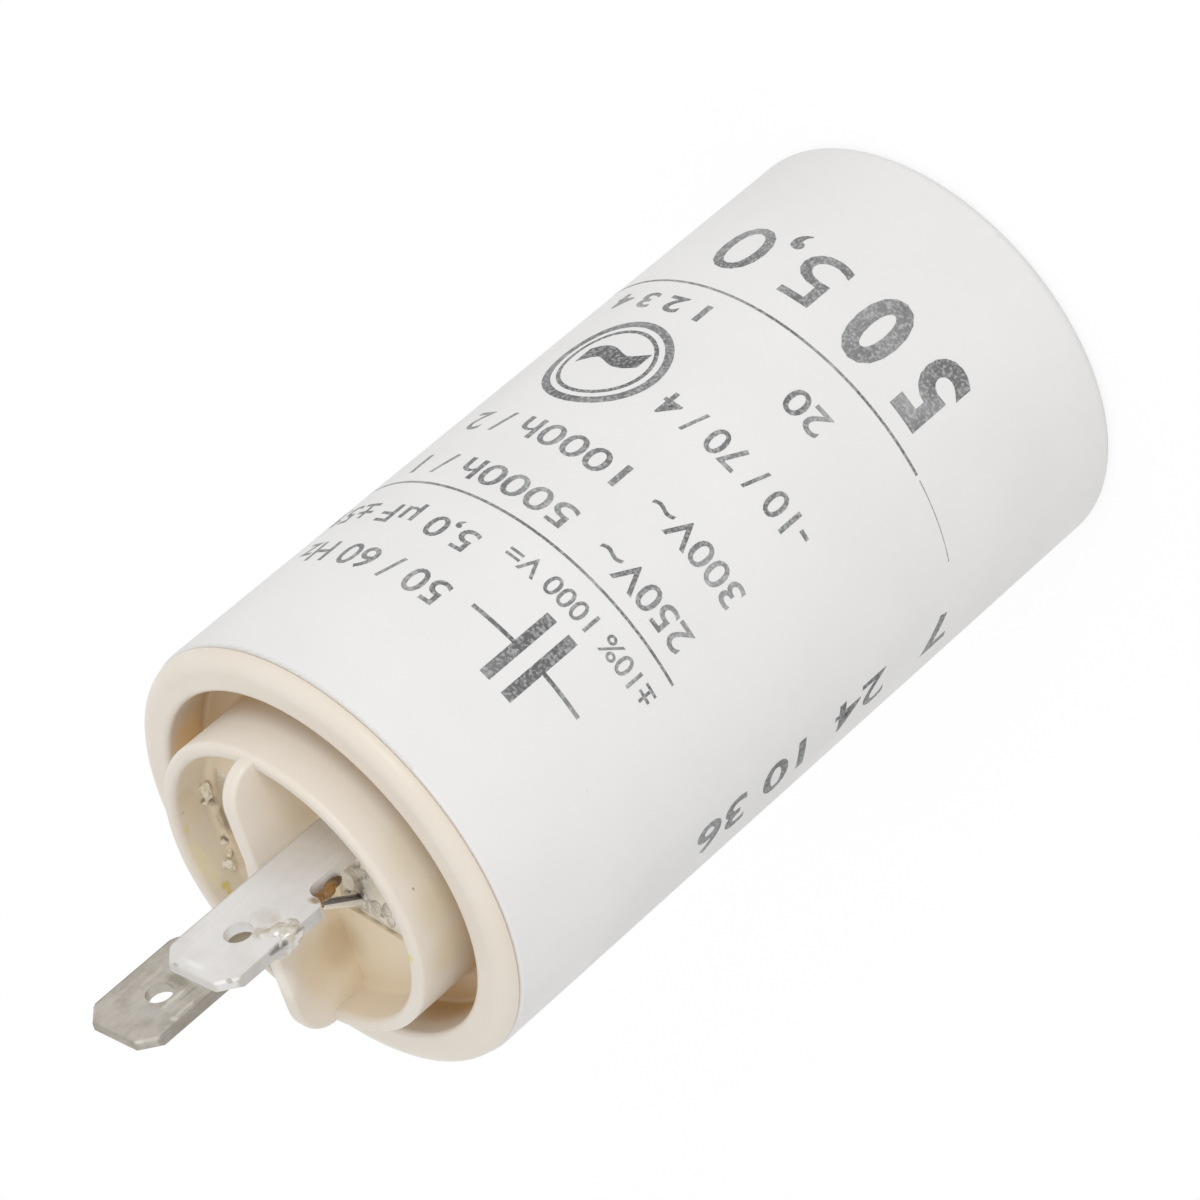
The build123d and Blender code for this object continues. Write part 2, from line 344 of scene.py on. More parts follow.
# cream moulded lid: glossier, warmer in its patches
lidPlastic = {
    "colour": (0.805, 0.74, 0.66), "clouded": (0.785, 0.715, 0.62), "cloudShare": 0.6, "cloudScale": 160,
    "mark": (0.33, 0.24, 0.15), "markShare": 0.6, "speckScale": 520, "speckSize": 0.08, "speckShare": 0.03,
    "grainScale": 3800, "grainDepth": 0.004 * mm, "waveScale": 340, "waveDepth": 0.015 * mm,
    "smooth": 0.29, "rough": 0.40,
    # painted shade: browner down in the moat; painted light and shade: warmer and lighter within the ring,
    # for light through its wall and saturated shade; in heights above the rim
    "moatShade": (0.70, 0.50, 0.27), "moatShadeFrom": 1.2, "moatShadeTo": -2.6, "moatShadeShare": 0.75,
    "inside": (0.88, 0.77, 0.60), "insideFrom": 6.2, "insideTo": 1.0,
    "insideRadius": 10.3, "insideSoft": 0.4,
    # painted warm shade in the moat, painted shade on the ring's near side, the divider and the wall's foot,
    # a painted light patch on the divider's top, and marks of flux and handling
    "stainsAndPaintedLight": [
        # painted warm shade at both ends of the moat
        ((11.85, 6.5, -0.5), (4.2, 4.2, 1.8), (0.95, 0.70, 0.38), 0.75, 0.1),
        ((-12.2, 4.9, -1.6), (4.5, 4.5, 2.0), (0.62, 0.42, 0.20), 0.75, 0.1),
        # painted shade on the near side of the ring, down into the moat
        ((-2.8, -10.5, 1.2), (2.8, 2.8, 2.4), (0.76, 0.68, 0.53), 0.8, 0.1),
        ((-6.25, -8.9, 1.2), (2.8, 2.8, 2.4), (0.76, 0.67, 0.50), 0.85, 0.1),
        ((-8.9, -6.25, 1.2), (2.8, 2.8, 2.4), (0.76, 0.66, 0.48), 0.85, 0.1),
        # painted shade on the divider's face
        ((-4.5, 4.1, 2.0), (2.6, 2.6, 2.2), (0.66, 0.52, 0.33), 0.7, 0.1),
        ((-4.7, 4.2, 4.2), (3.2, 3.0, 1.8), (0.78, 0.64, 0.45), 0.65, 0.1),
        # painted light: a pale patch along the divider's top, where it is lit
        ((-4.51, 3.85, 6.4), (1.8, 1.8, 0.9), (0.95, 0.90, 0.81), 0.85, 0.3),
        # marks of flux and handling
        ((8.85, 4.83, 2.9), (1.3, 1.3, 1.0), (0.74, 0.58, 0.36), 0.4, 0.6),
        ((7.9, 6.3, 2.4), (1.8, 1.8, 1.0), (0.83, 0.71, 0.44), 0.4, 0.8),
        ((7.25, 7.0, 3.3), (0.5, 0.5, 0.45), (0.80, 0.68, 0.28), 0.5, 0.9),
        ((5.59, 8.39, 3.2), (1.7, 1.7, 0.8), (0.93, 0.84, 0.52), 0.4, 1.0),
        ((4.25, 9.14, 3.0), (1.7, 1.7, 0.9), (0.93, 0.85, 0.52), 0.42, 1.0),
        ((2.9, 9.65, 2.6), (0.42, 0.42, 0.42), (0.72, 0.60, 0.12), 0.85, 0.9),
        ((2.45, 9.78, 2.6), (0.36, 0.36, 0.32), (0.74, 0.62, 0.16), 0.8, 0.9),
        ((8.14, 5.95, 3.25), (0.2, 0.2, 0.2), (0.40, 0.29, 0.16), 0.45, 0.9),
        # painted shade along the crevice at the wall's foot, and dark pits by the crumbs
        ((7.9, 6.25, 0.95), (0.85, 0.85, 0.4), (0.16, 0.12, 0.06), 0.8, 0.9),
        ((8.0, 6.1, 0.6), (0.5, 0.5, 0.5), (0.14, 0.11, 0.06), 0.8, 0.7),
        ((7.92, 6.24, 1.55), (0.3, 0.3, 0.3), (0.36, 0.24, 0.13), 0.7, 0.9),
        ((6.6, 7.6, 0.7), (1.9, 1.9, 0.45), (0.30, 0.24, 0.15), 0.7, 0.6),
        ((5.3, 8.57, 1.0), (0.6, 0.6, 0.4), (0.16, 0.12, 0.06), 0.75, 0.9),
        ((4.3, 9.1, 1.0), (0.45, 0.45, 0.35), (0.18, 0.14, 0.07), 0.7, 0.9),
        # a speck, a yellow mark and a row of darker marks low down
        ((-4.76, -10.08, 2.25), (0.16, 0.16, 0.12), (0.22, 0.18, 0.12), 0.75, 0.5),
        ((-7.82, -6.88, 3.95), (0.55, 0.55, 0.45), (0.76, 0.66, 0.22), 0.85, 0.4),
        ((-4.2, 1.05, 0.7), (0.8, 0.8, 0.25), (0.40, 0.33, 0.22), 0.75, 0.7),
        ((-5.2, 0.3, 0.7), (0.8, 0.8, 0.25), (0.36, 0.29, 0.19), 0.8, 0.7),
        ((-6.2, -0.5, 0.7), (0.9, 0.9, 0.25), (0.40, 0.33, 0.22), 0.75, 0.7),
    ],
}


def makeLidPlastic():
    v = lidPlastic
    material, tree, shader, place, clouds, specks, colour = newMoulded("lidCream", v, IOR=1.5)
    # painted shade: browner low in the moat
    low = heightMask(tree, place, rimHeight + v["moatShadeFrom"] * mm, rimHeight + v["moatShadeTo"] * mm)
    colour = blendColours(tree, low, colour, v["moatShade"], v["moatShadeShare"])
    # painted light and painted shade: warmer and lighter within the ring
    inner = heightMask(tree, place, rimHeight + v["insideFrom"] * mm, rimHeight + v["insideTo"] * mm)
    within = eased(tree, fromAxis(tree, place), v["insideRadius"], v["insideRadius"] - v["insideSoft"])
    colour = blendColours(tree, calc(tree, "MULTIPLY", inner, within), colour, v["inside"])
    colour = paintStainsAndLight(tree, place, colour, v["stainsAndPaintedLight"])
    colour = blendColours(tree, specks, colour, v["mark"], v["markShare"])
    mouldedSurface(tree, shader, place, v, colour, clouds)
    return material


# what all the metals share
metalDetail = {
    "streakLow": 0.42, "streakHigh": 0.62, "streakRise": 0.5,
    "pitSize": 0.25, "pitDark": 0.8, "pitRough": 0.2, "pitRise": -1.0,
}


def makeMetal(name, v):
    # drawn or dipped metal: streaks one way, smudges, bands and fine pits
    detail = metalDetail
    material, tree, shader, place = newMaterial(name, Metallic=v["metallic"])
    smudges = groupMask(tree, softClouds, place, Scale=v["smudgeScale"])
    streaks = groupMask(
        tree, softClouds, place, Scale=v["streakScale"], Stretch=v["stretch"],
        Low=detail["streakLow"], High=detail["streakHigh"])
    pits = groupMask(
        tree, looseSpecks, place, Scale=v["pitScale"], Size=detail["pitSize"], Share=v["pitShare"])
    colour = blendColours(tree, smudges, v["colour"], v["smudged"])
    colour = blendColours(tree, streaks, colour, v["streaked"], v["streakShare"])
    for axis, middle, clear, full, tint, share in v.get("bands", []):
        away = alongAxis(tree, place, axis, middle)
        if min(clear, full) > 0:     # the same on both sides
            away = calc(tree, "ABSOLUTE", away)
        colour = blendColours(tree, eased(tree, away, clear, full), colour, tint, share)
    colour = paintStainsAndLight(tree, place, colour, v.get("stainsAndPaintedLight", []))
    colour = blendColours(tree, pits, colour, v["pitted"], detail["pitDark"])
    roughness = ranged(tree, smudges, v["smooth"], v["rough"])
    roughness = calc(tree, "ADD", roughness, calc(tree, "MULTIPLY", pits, detail["pitRough"]))
    height = calc(tree, "ADD", calc(tree, "MULTIPLY", streaks, detail["streakRise"]), smudges)
    height = calc(tree, "ADD", calc(tree, "MULTIPLY", pits, detail["pitRise"]), height)
    surfaced(tree, shader, colour, roughness, height, v["depth"])
    return material


acrossBlade = (math.cos(bladeTurn), math.sin(bladeTurn), 0)
metalA = {
    "metallic": 0.6, "colour": (0.78, 0.765, 0.75), "smudged": (0.735, 0.715, 0.695), "smudgeScale": 330,
    "streaked": (0.60, 0.58, 0.55), "streakScale": 2600, "streakShare": 0.08, "stretch": (1, 1, 0.06),
    "pitted": (0.42, 0.38, 0.33), "pitScale": 1500, "pitShare": 0.03,
    "smooth": 0.5, "rough": 0.62, "depth": 0.003 * mm,
    # darker side edges and tip: axis, a point on it, where the band begins and is full in mm, colour, share
    "bands": [
        (acrossBlade, onBlade(0, 0, 0), 2.96, 3.14, (0.42, 0.39, 0.36), 0.55),
        ((0, 0, 1), onBlade(0, 0, bladeTip), -0.22, 0.0, (0.45, 0.42, 0.38), 0.4),
    ],
    "stainsAndPaintedLight": [
        # painted highlight: a pale patch near the tip
        ((0.4, 0.4, 15.4, 1), (1.3, 1.3, 0.3), (0.97, 0.97, 0.96), 0.4, 0.8),
        ((1.5, 0.4, 15.95, 1), (0.3, 0.3, 0.15), (0.34, 0.31, 0.27), 0.5, 0.9),
        ((-2.75, 0.4, 15.35, 1), (0.35, 0.35, 0.25), (0.30, 0.24, 0.18), 0.6, 0.9),
        ((-1.25, 0.4, 11.3, 1), (0.75, 0.75, 0.8), (0.50, 0.42, 0.32), 0.6, 0.8),
        ((-1.3, 0.4, 9.9, 1), (0.5, 0.5, 0.5), (0.60, 0.52, 0.42), 0.45, 0.8),
        ((-3.15, 0.2, 11.6, 1), (0.35, 0.35, 1.1), (0.14, 0.11, 0.09), 0.75, 0.9),
        ((-0.6, 0.4, 10.1, 1), (1.5, 1.5, 1.0), (0.58, 0.53, 0.46), 0.45, 0.9),
        ((-2.3, 0.3, 7.5, 1), (0.8, 0.7, 0.42), (0.30, 0.19, 0.08), 0.8, 0.8),
    ],
}
# blade B: the same tinned metal as blade A, its colours painted darker as shade and a dim reflection; its
# streaks are the metal's own
metalB = dict(
    metalA, metallic=0.9, colour=(0.50, 0.465, 0.41), smudged=(0.42, 0.39, 0.34), smudgeScale=700,
    streaked=(0.59, 0.56, 0.51), streakShare=0.3, stretch=(1, 1, 0.35), pitShare=0.1, smooth=0.36, rough=0.5,
    bands=[
        (acrossBlade, -onBlade(0, 0, 0), 2.98, 3.12, (0.26, 0.24, 0.21), 0.6),
        ((0, 0, 1), onBlade(0, 0, bladeTip), -0.2, 0.0, (0.20, 0.18, 0.15), 0.35),
    ],
    stainsAndPaintedLight=[
        ((0.3, -0.4, 10.5, -1), (1.2, 1.2, 0.6), (0.27, 0.25, 0.19), 0.6, 0.7),
        ((-1.6, -0.4, 11.2, -1), (0.22, 0.22, 1.6), (0.58, 0.55, 0.48), 0.6, 1.2),
        ((1.3, -0.4, 11.9, -1), (0.24, 0.24, 1.8), (0.66, 0.64, 0.57), 0.75, 1.4),
        ((1.8, -0.4, 10.8, -1), (0.2, 0.2, 1.3), (0.29, 0.27, 0.22), 0.6, 1.2),
        ((2.65, -0.4, 12.0, -1), (0.22, 0.22, 1.3), (0.64, 0.62, 0.55), 0.7, 1.4),
        ((2.7, -0.4, 13.25, -1), (0.36, 0.36, 0.3), (0.72, 0.70, 0.64), 0.7, 1.2),
        ((2.1, -0.4, 15.8, -1), (0.6, 0.6, 0.3), (0.58, 0.56, 0.50), 0.6, 1.2),
        ((0.8, -0.4, 13.7, -1), (1.6, 1.6, 1.0), (0.52, 0.50, 0.45), 0.5, 0.8),
        ((-2.3, -0.4, 13.6, -1), (0.25, 0.25, 1.6), (0.56, 0.53, 0.47), 0.5, 0.8),
    ],
)
acrossLead = (0.761, -0.319, -0.565)     # across the short lead, from its lit side to its dark one
leadMiddle = Vector((-3.3 * mm, 0, resinHeight))
darkMiddle = leadMiddle + 0.12 * mm * Vector(acrossLead)     # where its dark side begins
tinnedWire = {
    "metallic": 0.35, "colour": (0.98, 0.97, 0.96), "smudged": (0.93, 0.91, 0.88), "smudgeScale": 900,
    "streaked": (0.60, 0.57, 0.52), "streakScale": 3200, "streakShare": 0.15, "stretch": (1, 1, 0.1),
    "pitted": (0.30, 0.26, 0.21), "pitScale": 2500, "pitShare": 0.03,
    "smooth": 0.16, "rough": 0.26, "depth": 0.002 * mm,
    "bands": [
        # painted shade: a near-black stripe down the lead's side away from the light, for its shade and a
        # dark reflection
        (acrossLead, darkMiddle, -0.04, 0.02, (0.04, 0.035, 0.035), 0.97),
        (acrossLead, leadMiddle, 0.42, 0.5, (0.93, 0.92, 0.89), 1.0),
    ],
}
solderTin = {
    "metallic": 0.5, "colour": (0.80, 0.78, 0.75), "smudged": (0.60, 0.56, 0.49), "smudgeScale": 900,
    "streaked": (0.46, 0.40, 0.32), "streakScale": 1600, "streakShare": 0.4, "stretch": (1, 1, 1),
    "pitted": (0.14, 0.11, 0.08), "pitScale": 1500, "pitShare": 0.12,
    "smooth": 0.29, "rough": 0.44, "depth": 0.02 * mm,
    "stainsAndPaintedLight": [
        ((-3.45, 0.3, 9.75, 1), (0.3, 0.3, 0.9), (0.05, 0.04, 0.04), 0.85, 0.6),
        ((-3.35, 0.2, 11.2, 1), (0.4, 0.4, 0.5), (0.08, 0.07, 0.06), 0.8, 0.8),
        ((-2.3, 0.7, 10.2, 1), (0.14, 0.14, 0.5), (0.20, 0.16, 0.12), 0.6, 0.6),
        ((-1.6, 0.6, 11.0, 1), (0.45, 0.45, 0.6), (0.48, 0.40, 0.30), 0.7, 0.8),
        ((-2.7, 0.6, 11.2, 1), (0.3, 0.3, 0.2), (0.22, 0.18, 0.14), 0.6, 0.8),
    ],
}
sprayedZinc = {
    "metallic": 1.0, "colour": (0.52, 0.52, 0.53), "smudged": (0.40, 0.40, 0.41), "smudgeScale": 300,
    "streaked": (0.60, 0.60, 0.60), "streakScale": 2500, "streakShare": 0.5, "stretch": (1, 1, 1),
    "pitted": (0.20, 0.20, 0.20), "pitScale": 2500, "pitShare": 0.5,
    "smooth": 0.5, "rough": 0.7, "depth": 0.05 * mm,
}
filmFoil = {
    "metallic": 1.0, "colour": (0.62, 0.63, 0.65), "smudged": (0.52, 0.54, 0.58), "smudgeScale": 120,
    "streaked": (0.75, 0.75, 0.76), "streakScale": 900, "streakShare": 0.5, "stretch": (0.2, 0.2, 4),
    "pitted": (0.4, 0.4, 0.4), "pitScale": 900, "pitShare": 0.02,
    "smooth": 0.18, "rough": 0.3, "depth": 0.01 * mm,
}

# what all the plain resins and plastics share
plainDetail = {
    "cloudLow": 0.3, "cloudHigh": 0.7, "speckScale": 3, "speckSize": 0.2, "speckDark": 0.7, "speckRise": 0.4,
}


def makePlain(name, v):
    # a plain plastic or resin with clouded colour and specks
    detail = plainDetail
    material, tree, shader, place = newMaterial(name, IOR=1.5, **v["shader"])
    clouds = groupMask(
        tree, softClouds, place, Scale=v["scale"], Low=detail["cloudLow"], High=detail["cloudHigh"])
    specks = groupMask(
        tree, looseSpecks, place, Scale=v["scale"] * detail["speckScale"],
        Size=detail["speckSize"], Share=v["speckShare"])
    colour = blendColours(tree, clouds, v["colour"], v["clouded"])
    colour = paintStainsAndLight(tree, place, colour, v.get("stainsAndPaintedLight", []))
    colour = blendColours(tree, specks, colour, v["speck"], detail["speckDark"])
    height = calc(tree, "ADD", clouds, calc(tree, "MULTIPLY", specks, detail["speckRise"]))
    surfaced(tree, shader, colour, ranged(tree, clouds, v["smooth"], v["rough"]), height, v["depth"])
    return material


epoxy = {
    "shader": {"Coat_Weight": 0.3, "Coat_Roughness": 0.2},
    "colour": (0.96, 0.92, 0.84), "clouded": (0.84, 0.79, 0.67), "speck": (0.38, 0.31, 0.19),
    "speckShare": 0.12, "scale": 420, "smooth": 0.3, "rough": 0.45, "depth": 0.10 * mm,
    "stainsAndPaintedLight": [
        ((-2.16, -2.43, 0.65), (0.45, 0.9, 0.5), (0.10, 0.10, 0.09), 0.85, 0.9),
        ((-1.5, -2.9, 0.65), (0.4, 0.8, 0.5), (0.13, 0.12, 0.09), 0.8, 0.9),
        ((-1.4, -1.7, 0.65), (0.9, 1.1, 0.5), (0.34, 0.31, 0.20), 0.6, 0.8),
        ((-2.7, 0.5, 0.65), (0.4, 1.0, 0.5), (0.08, 0.07, 0.05), 0.85, 0.7),
        ((-4.82, -1.75, 0.65), (0.4, 0.5, 0.5), (0.12, 0.11, 0.09), 0.8, 0.8),
        ((-4.9, -1.0, 0.65), (0.3, 0.3, 0.5), (0.14, 0.12, 0.10), 0.7, 0.8),
        ((-3.2, 0.9, 0.65), (1.4, 0.35, 0.5), (0.30, 0.26, 0.19), 0.6, 0.8),
        # painted shade: the resin in the far well darkened
        ((6.8, 6.0, 0.65), (4.0, 4.0, 0.8), (0.50, 0.41, 0.28), 0.7, 0.5),
    ],
}
fluxAmber = {
    "shader": {"Coat_Weight": 0.4, "Coat_Roughness": 0.06},
    "colour": (0.27, 0.12, 0.015), "clouded": (0.14, 0.06, 0.01), "speck": (0.08, 0.04, 0.01),
    "speckShare": 0.12, "scale": 900, "smooth": 0.1, "rough": 0.25, "depth": 0.03 * mm,
    "stainsAndPaintedLight": [
        ((-1.2, -0.4, 5.0, 1), (0.6, 0.6, 0.8), (0.05, 0.03, 0.015), 0.9, 0.7),
        ((-1.2, -0.4, 4.9, 1), (0.7, 0.7, 0.7), (0.08, 0.04, 0.015), 0.85, 0.8),
        ((-1.9, -0.2, 7.1, 1), (0.6, 0.6, 0.4), (0.20, 0.11, 0.04), 0.8, 0.8),
    ],
}
crumbCream = {
    "shader": {"Specular_IOR_Level": 0.3},
    "colour": (0.97, 0.93, 0.83), "clouded": (0.90, 0.83, 0.66), "speck": (0.34, 0.26, 0.14),
    "speckShare": 0.12, "scale": 1400, "smooth": 0.35, "rough": 0.6, "depth": 0.05 * mm,
}
coreBlack = {
    "shader": {}, "colour": (0.10, 0.10, 0.105), "clouded": (0.13, 0.13, 0.13), "speck": (0.05, 0.05, 0.05),
    "speckShare": 0.1, "scale": 600, "smooth": 0.45, "rough": 0.6, "depth": 0.02 * mm,
}
sleeveWhite = {
    "shader": {}, "colour": (0.75, 0.75, 0.74), "clouded": (0.68, 0.68, 0.66), "speck": (0.5, 0.5, 0.48),
    "speckShare": 0.1, "scale": 600, "smooth": 0.4, "rough": 0.55, "depth": 0.02 * mm,
}
wrapFilm = {
    "shader": {}, "colour": (0.66, 0.62, 0.50), "clouded": (0.58, 0.54, 0.42), "speck": (0.45, 0.42, 0.33),
    "speckShare": 0.1, "scale": 300, "smooth": 0.2, "rough": 0.35, "depth": 0.03 * mm,
}

finishes = {
    "case": makeCasePlastic(),
    "lid": makeLidPlastic(),
    "tab_a": makeMetal("bladeBright", metalA),
    "tab_b": makeMetal("bladeShadedMottled", metalB),
    "lead_a": makeMetal("tinnedWire", tinnedWire),
    "solder_a": makeMetal("solderTin", solderTin),
    "end_contact_top": makeMetal("sprayedZinc", sprayedZinc),
    "film_winding": makeMetal("filmFoil", filmFoil),
    "potting_resin": makePlain("epoxy", epoxy),
    "winding_core": makePlain("coreBlack", coreBlack),
    "lead_sleeve": makePlain("sleeveWhite", sleeveWhite),
    "film_wrap": makePlain("wrapFilm", wrapFilm),
}
finishes["lead_b"] = finishes["lead_a"]
finishes["solder_b"] = finishes["solder_a"]
finishes["end_contact_bottom"] = finishes["end_contact_top"]
for name, piece in nodes.items():
    dress(piece, finishes[name])
print("finishes made for", len(finishes), "nodes")


def makeLumps(name, v, place):
    # rounded lumps run together: each is a stretched ball, and the skin over them all is remade
    balls = []
    for centre, reach in v["lumps"]:
        deselectAll()
        bpy.ops.mesh.primitive_ico_sphere_add(subdivisions=4, radius=mm, location=place(centre))
        ball = bpy.context.object
        ball.rotation_euler = (0, 0, v["turn"])
        ball.scale = reach
        settle(ball)
        balls.append(ball)
    lumps = joined(name, balls)
    modify(lumps, "REMESH", mode="VOXEL", voxel_size=v["voxel"] * mm)
    modify(lumps, "SMOOTH", factor=0.5, iterations=v["smoothing"])
    ripple = bpy.data.textures.new(name + "Ripple", "CLOUDS")
    ripple.noise_scale = v["rippleSize"] * mm
    modify(lumps, "DISPLACE", texture=ripple, strength=v["rippleDepth"] * mm, mid_level=0.5)
    pick(lumps)
    bpy.ops.object.shade_smooth()
    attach(lumps, "root")
    return lumps


def besideA(centre):
    return onBlade(*centre)


def besideB(centre):
    return onBlade(*centre, side=-1)


# across, out from the blade's middle and above the rim, then the reach each way
solderA = {
    "voxel": 0.06, "smoothing": 4, "rippleSize": 0.4, "rippleDepth": 0.12, "turn": bladeTurn,
    "lumps": [
        ((-2.8, 0.4, 10.25), (0.55, 0.3, 0.75)), ((-2.1, 0.4, 10.6), (0.5, 0.24, 0.7)),
        ((-2.55, 0.4, 9.75), (0.6, 0.22, 0.45)), ((-1.7, 0.38, 11.15), (0.45, 0.1, 0.5)),
        ((-3.12, 0.05, 10.3), (0.2, 0.5, 0.95)), ((-3.08, 0.2, 11.1), (0.2, 0.3, 0.5)),
        ((-1.9, -0.95, 10.4), (0.75, 0.8, 1.3)), ((-2.5, -0.55, 10.3), (0.7, 0.4, 1.0)),
    ],
}
solderB = {
    "voxel": 0.06, "smoothing": 3, "rippleSize": 0.45, "rippleDepth": 0.14, "turn": bladeTurn,
    "lumps": [
        ((-0.75, -0.95, 6.1), (0.75, 0.8, 1.3)), ((-1.0, -0.5, 6.1), (0.6, 0.4, 1.0)),
        ((-1.08, 0.0, 6.1), (0.3, 0.6, 1.0)), ((-0.6, 0.4, 6.2), (0.6, 0.25, 0.9)),
    ],
}
fluxDrop = {
    "voxel": 0.06, "smoothing": 4, "rippleSize": 0.5, "rippleDepth": 0.1, "turn": bladeTurn,
    "lumps": [
        ((-1.55, -0.35, 6.75), (0.4, 0.34, 0.45)), ((-1.5, -0.5, 6.0), (0.42, 0.36, 0.7)),
        ((-1.25, -0.5, 5.2), (0.34, 0.36, 0.75)), ((-1.95, -0.35, 7.1), (0.5, 0.25, 0.2)),
    ],
}
# x, y and above the rim
solderSplashes = {
    "voxel": 0.05, "smoothing": 2, "rippleSize": 0.3, "rippleDepth": 0.12, "turn": 0.4,
    "lumps": [
        ((-3.3, 0.0, 0.66), (0.8, 0.7, 0.3)), ((-3.0, -0.8, 0.66), (0.6, 0.55, 0.2)),
        ((-3.85, -0.4, 0.66), (0.55, 0.75, 0.17)), ((-4.35, -1.0, 0.66), (0.5, 0.85, 0.14)),
        ((-1.85, -1.95, 0.66), (0.55, 0.6, 0.18)), ((-2.45, -1.45, 0.66), (0.5, 0.5, 0.13)),
        ((-4.9, -2.0, 0.66), (0.4, 0.8, 0.12)), ((-1.2, -3.3, 0.66), (0.4, 0.5, 0.13)),
        ((-5.6, -1.4, 0.66), (0.35, 0.5, 0.11)), ((-2.2, -2.9, 0.66), (0.45, 0.4, 0.12)),
        ((-2.75, 0.35, 0.78), (0.65, 0.13, 0.14)),
    ],
}
resinCrumbs = {
    "voxel": 0.05, "smoothing": 1, "rippleSize": 0.2, "rippleDepth": 0.3, "turn": 2.2,
    "lumps": [
        ((8.35, 5.35, 1.3), (0.75, 0.4, 0.3)), ((8.45, 5.15, 1.5), (0.4, 0.3, 0.25)),
        ((8.05, 5.8, 1.1), (0.4, 0.35, 0.25)), ((7.85, 6.1, 1.25), (0.22, 0.2, 0.2)),
        ((7.7, 6.3, 1.5), (0.16, 0.16, 0.16)), ((7.95, 5.95, 0.75), (0.25, 0.2, 0.2)),
        ((3.75, 9.15, 1.65), (0.36, 0.3, 0.26)), ((3.5, 9.3, 1.5), (0.3, 0.25, 0.24)),
        ((3.95, 9.1, 1.9), (0.2, 0.2, 0.18)), ((5.1, 8.5, 1.25), (0.2, 0.18, 0.16)),
        ((4.95, 8.6, 1.05), (0.16, 0.16, 0.2)), ((4.4, 8.95, 1.1), (0.22, 0.18, 0.16)),
        ((4.2, 9.0, 1.35), (0.15, 0.15, 0.13)),
    ],
}
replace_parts(makeLumps("solder_lump_a", solderA, besideA), "solder_a")
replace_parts(makeLumps("solder_lump_b", solderB, besideB), "solder_b")
makeLumps("flux_drop", fluxDrop, besideA)
makeLumps("solder_splashes", solderSplashes, aboveRim)
makeLumps("resin_crumbs", resinCrumbs, aboveRim)
for name, finish, slot in (
    ("solder_lump_a", finishes["solder_a"], "solder"),
    ("solder_lump_b", finishes["solder_a"], "solder"),
    ("solder_splashes", finishes["solder_a"], "solder"),
    ("flux_drop", makePlain("fluxAmber", fluxAmber), "resin"),
    ("resin_crumbs", makePlain("crumbCream", crumbCream), "resin"),
):
    piece = bpy.data.objects[name]
    dress(piece, finish)
print("solder, flux and crumbs laid")


# printed marks: plain numbers and units, laid out flat and then bent round the case
printInk = {
    # in mm: its thickness, how far it stands off the case, and the strips it is cut into to bend
    "depth": 0.04, "proud": 0.012, "strip": 0.5, "mergeWithin": 0.002, "cutWithin": 0.0002,
    "ink": (0.14, 0.14, 0.145), "worn": (0.31, 0.31, 0.315),
    "wornScale": 260, "wornFrom": 0.35, "wornTo": 0.75,
    "gap": (0.66, 0.655, 0.65), "gapShare": 0.5,
    "gapScale": 4200, "gapFrom": 0.42, "gapTo": 0.7, "gapDetail": 2,
    "smooth": 0.45, "rough": 0.6, "gapDepth": -0.005 * mm,
    # where the ink lies thicker or thinner: x, y and above the rim
    "stainsAndPaintedLight": [
        ((12.6, -9.85, -32.7), (5.5, 5.5, 5.5), (0.07, 0.07, 0.075), 0.85, 0.6),
        ((1.4, -15.94, -11.1), (4.5, 4.5, 4.0), (0.09, 0.09, 0.095), 0.5, 0.8),
        ((-3.5, -15.6, -22.5), (5.5, 4.0, 4.5), (0.37, 0.37, 0.375), 0.55, 0.8),
        ((3.0, -15.7, -46.5), (6.0, 4.0, 5.0), (0.34, 0.34, 0.345), 0.35, 0.8),
        ((-13.5, -8.0, -30.0), (4.5, 4.5, 16.0), (0.07, 0.07, 0.075), 0.8, 0.6),
    ],
    # words, first angle, foot above the base, height, width, weight
    "lines": [
        ("50 / 60 Hz", -61.5, 47.4, 2.2, 13.6, 0.008),
        ("5,0 µF ±5%", -56.0, 43.1, 2.0, 15.0, 0.008),
        ("±10% 1000 V=", -110.5, 42.1, 1.55, 13.3, 0.008),
        ("250V~", -106.0, 37.5, 2.1, 8.3, 0.008),
        ("5000h / 1", -67.5, 37.5, 2.1, 14.0, 0.008),
        ("300V~", -106.0, 32.6, 2.1, 8.3, 0.008),
        ("1000h / 2", -67.5, 32.6, 2.1, 14.0, 0.008),
        ("-10 / 70 / 4", -106.0, 26.0, 2.2, 13.2, 0.008),
        ("20", -89.5, 19.8, 2.2, 3.3, 0.008),
        ("1 2 3 4", -47.5, 18.5, 1.7, 8.6, 0.024),
        ("5 0", -104.5, 9.9, 5.8, 8.6, 0.035),
        ("5,0", -66.0, 10.2, 4.9, 9.6, 0.0),
    ],
    # read from the base up, along the axis
    "upright": [
        ("7", -151.2, 17.2, 2.9, 2.5, 0.03),
        ("24", -151.2, 23.6, 2.9, 5.0, 0.01),
        ("10 36", -151.2, 31.6, 2.9, 10.6, 0.02),
    ],
    # first angle, height, last angle, thickness
    "rules": [(-111.0, 40.65, 40.0, 0.2), (-111.5, 16.95, 40.0, 0.2), (-136.0, 16.95, -113.0, 0.06)],
    # capacitor sign, two plates and their leads: distance from its middle, width, height
    "signAngle": -85, "signHeight": 47.6, "signMarks": [(0.95, 0.85, 6.2), (3.1, 3.5, 0.3)],
    # angle, height, radius and width of each line, round a wave
    "rings": [(-38, 26.0, 4.15, 0.6), (-38, 26.0, 3.3, 0.3)],
    "wave": ("~", -46.6, 23.5, 5.2, 4.8, 0.05),
}


